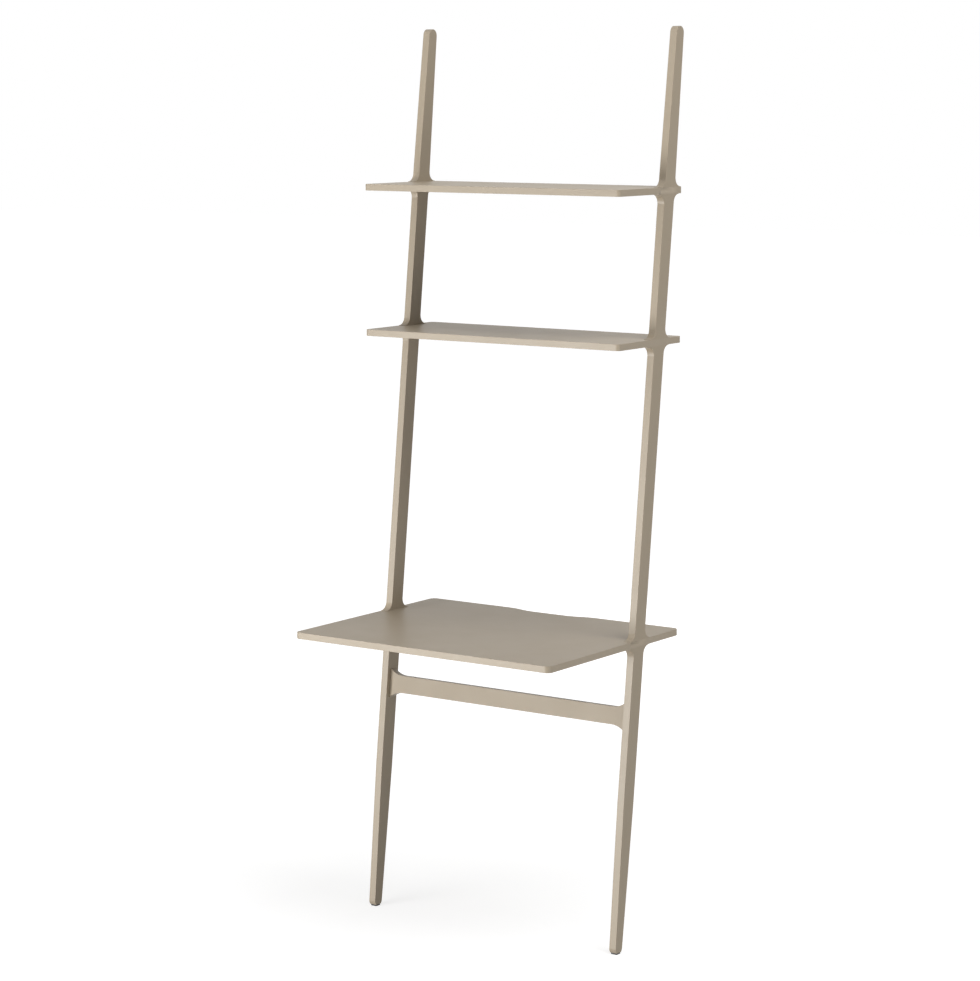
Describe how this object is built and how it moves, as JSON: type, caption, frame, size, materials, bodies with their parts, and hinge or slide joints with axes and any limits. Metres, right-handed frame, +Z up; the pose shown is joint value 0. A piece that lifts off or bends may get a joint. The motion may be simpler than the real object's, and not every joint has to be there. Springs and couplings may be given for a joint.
{
  "type": "ladder desk",
  "caption": "Leaning ladder desk: a desk top and shelves on thin posts that stand on two feet and rest back against a wall, with a stretcher and a cable recess.",
  "frame": {"origin": "on the floor, midway between the side edges and midway between the desk's front edge and the wall plane", "axes": "+X to the right as seen from the front, +Y towards the wall, +Z up"},
  "size_m": [0.75, 0.575, 2.226],
  "materials": {
    "lacquered_board": "satin greige lacquer on fibreboard",
    "glide_plastic": "moulded, fine matt grain",
    "beech": "planed beech, untreated",
    "zinc_steel": "bright zinc plate"
  },
  "bodies": {
    "root": {"desk_top": "lacquered_board", "lower_shelf": "lacquered_board", "upper_shelf": "lacquered_board", "left_leg": "lacquered_board", "left_middle_post": "lacquered_board", "left_upper_post": "lacquered_board", "left_top_post": "lacquered_board", "right_leg": "lacquered_board", "right_middle_post": "lacquered_board", "right_upper_post": "lacquered_board", "right_top_post": "lacquered_board", "stretcher": "lacquered_board", "left_glide": "glide_plastic", "right_glide": "glide_plastic", "left_wall_bracket": "zinc_steel", "right_wall_bracket": "zinc_steel", "post_tenons": "beech", "stretcher_tenons": "beech", "bracket_screws": "zinc_steel"}
  },
  "joints": []
}
